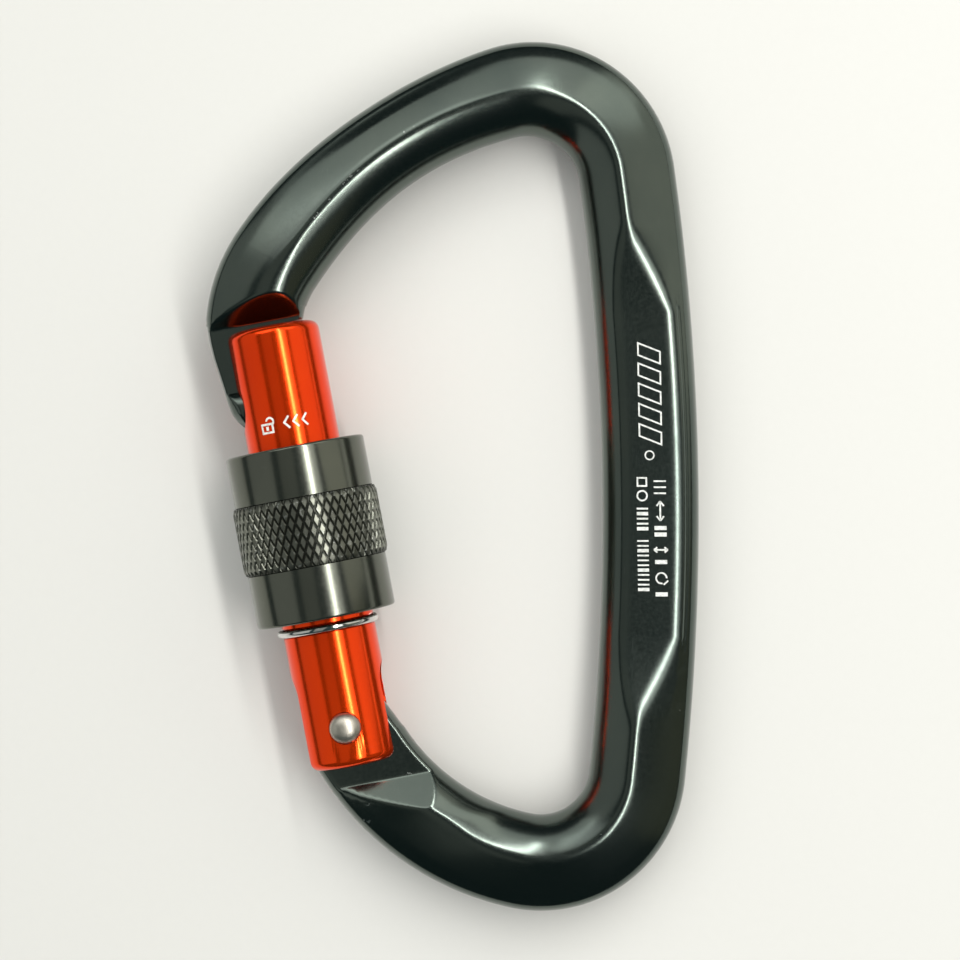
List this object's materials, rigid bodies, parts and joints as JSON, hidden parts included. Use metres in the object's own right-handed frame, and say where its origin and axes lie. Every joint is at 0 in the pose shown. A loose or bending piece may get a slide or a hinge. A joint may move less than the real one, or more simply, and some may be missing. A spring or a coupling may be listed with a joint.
{
  "type": "locking carabiner",
  "caption": "Offset-D locking carabiner: forged frame with keylock nose, spring-closed hinged gate and knurled screw sleeve.",
  "frame": {"origin": "centre of the bounding box, on the frame's middle plane", "axes": "+Y towards the large bow, +X towards the spine, +Z out of the frame's flat side"},
  "size_m": [0.0616, 0.1086, 0.0182],
  "materials": {
    "frame_anodised": "glossy gunmetal anodised",
    "gate_anodised": "glossy orange-red anodised",
    "sleeve_anodised": "glossy gunmetal anodised, knurled band",
    "rivet_metal": "satin",
    "ring_steel": "bright drawn spring wire",
    "spring_steel": "drawn stainless wire"
  },
  "bodies": {
    "frame_body": {"frame": "frame_anodised"},
    "gate_body": {"gate": "gate_anodised", "hinge_rivet": "rivet_metal", "gate_spring": "spring_steel"},
    "plunger_body": {"spring_plunger": "spring_steel"},
    "ring_body": {"retaining_ring": "ring_steel"},
    "sleeve_body": {"lock_sleeve": "sleeve_anodised"}
  },
  "joints": [
    {"name": "gate_hinge", "type": "hinge", "parent": "frame_body", "child": "gate_body", "pos_m": [-0.01311, -0.03098, 0], "axis": [0, 0, -1], "range_deg": [0, 25], "stiffness_Nm_per_rad": 0.2, "springref_deg": -34.38},
    {"name": "plunger_slide", "type": "slide", "parent": "gate_body", "child": "plunger_body", "axis": [-0.1874, 0.9823, 0], "range_m": [0, 0.0013], "deforming": ["gate_spring"]},
    {"name": "sleeve_turn", "type": "hinge", "parent": "gate_body", "child": "ring_body", "pos_m": [-0.01311, -0.03098, 0], "axis": [-0.1874, 0.9823, 0], "range_deg": [0, 1440]},
    {"name": "sleeve_advance", "type": "slide", "parent": "ring_body", "child": "sleeve_body", "axis": [-0.1874, 0.9823, 0], "range_m": [0, 0.0101]}
  ],
  "couplings": [
    {"joint": "plunger_slide", "follows": "gate_hinge", "m_per_rad": 0.0028},
    {"joint": "sleeve_advance", "follows": "sleeve_turn", "m_per_rad": 0.00039789}
  ]
}
